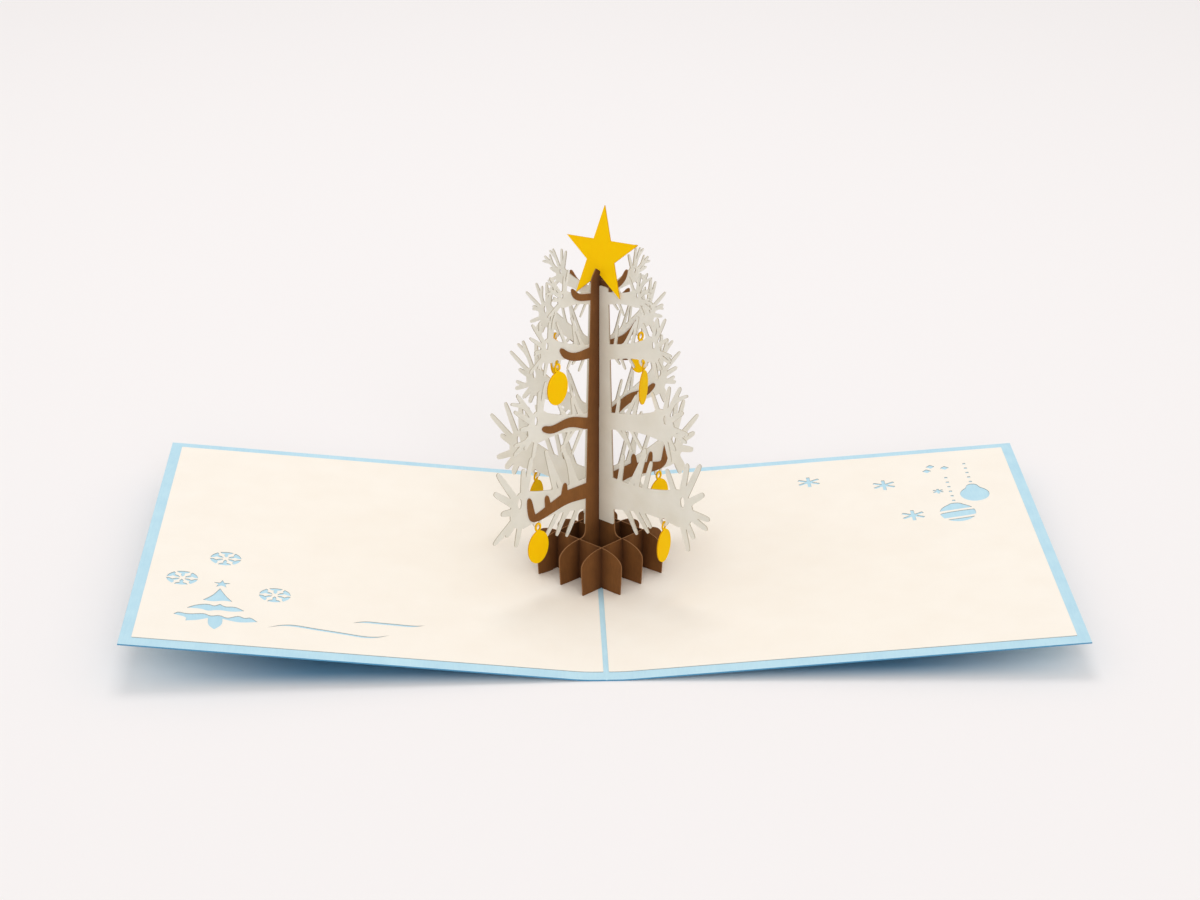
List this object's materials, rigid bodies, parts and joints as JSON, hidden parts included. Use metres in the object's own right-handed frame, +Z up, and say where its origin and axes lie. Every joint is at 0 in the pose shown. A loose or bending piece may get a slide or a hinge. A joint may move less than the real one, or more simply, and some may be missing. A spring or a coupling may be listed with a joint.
{
  "type": "pop up card",
  "caption": "Greeting card lying open on its spine, with a slotted paper tree standing up from the fold, hung with oval ornaments and topped by a star.",
  "frame": {"origin": "on the table under the middle of the fold", "axes": "+X across the open card to its right page, +Y along the fold to the back, +Z up"},
  "size_m": [0.2989, 0.158, 0.1263],
  "materials": {
    "blue_card": "matt light blue card",
    "cream_paper": "matt cream paper",
    "brown_card": "matt brown card",
    "white_paper": "pearly grey-white paper",
    "yellow_card": "matt yellow card"
  },
  "bodies": {
    "root": {"cover": "blue_card", "left_insert": "cream_paper", "right_insert": "cream_paper", "star": "yellow_card", "base_front_left_strip": "brown_card", "ornament_front_left_low": "yellow_card", "ornament_front_left_high": "yellow_card", "base_front_right_strip": "brown_card", "ornament_front_right_low": "yellow_card", "ornament_front_right_high": "yellow_card", "base_back_left_strip": "brown_card", "ornament_back_left_low": "yellow_card", "ornament_back_left_high": "yellow_card", "base_back_right_strip": "brown_card", "ornament_back_right_low": "yellow_card", "ornament_back_right_high": "yellow_card", "trunk_sheet_a": "brown_card", "needle_sheet_a": "white_paper", "trunk_sheet_b": "brown_card", "needle_sheet_b": "white_paper"}
  },
  "joints": []
}
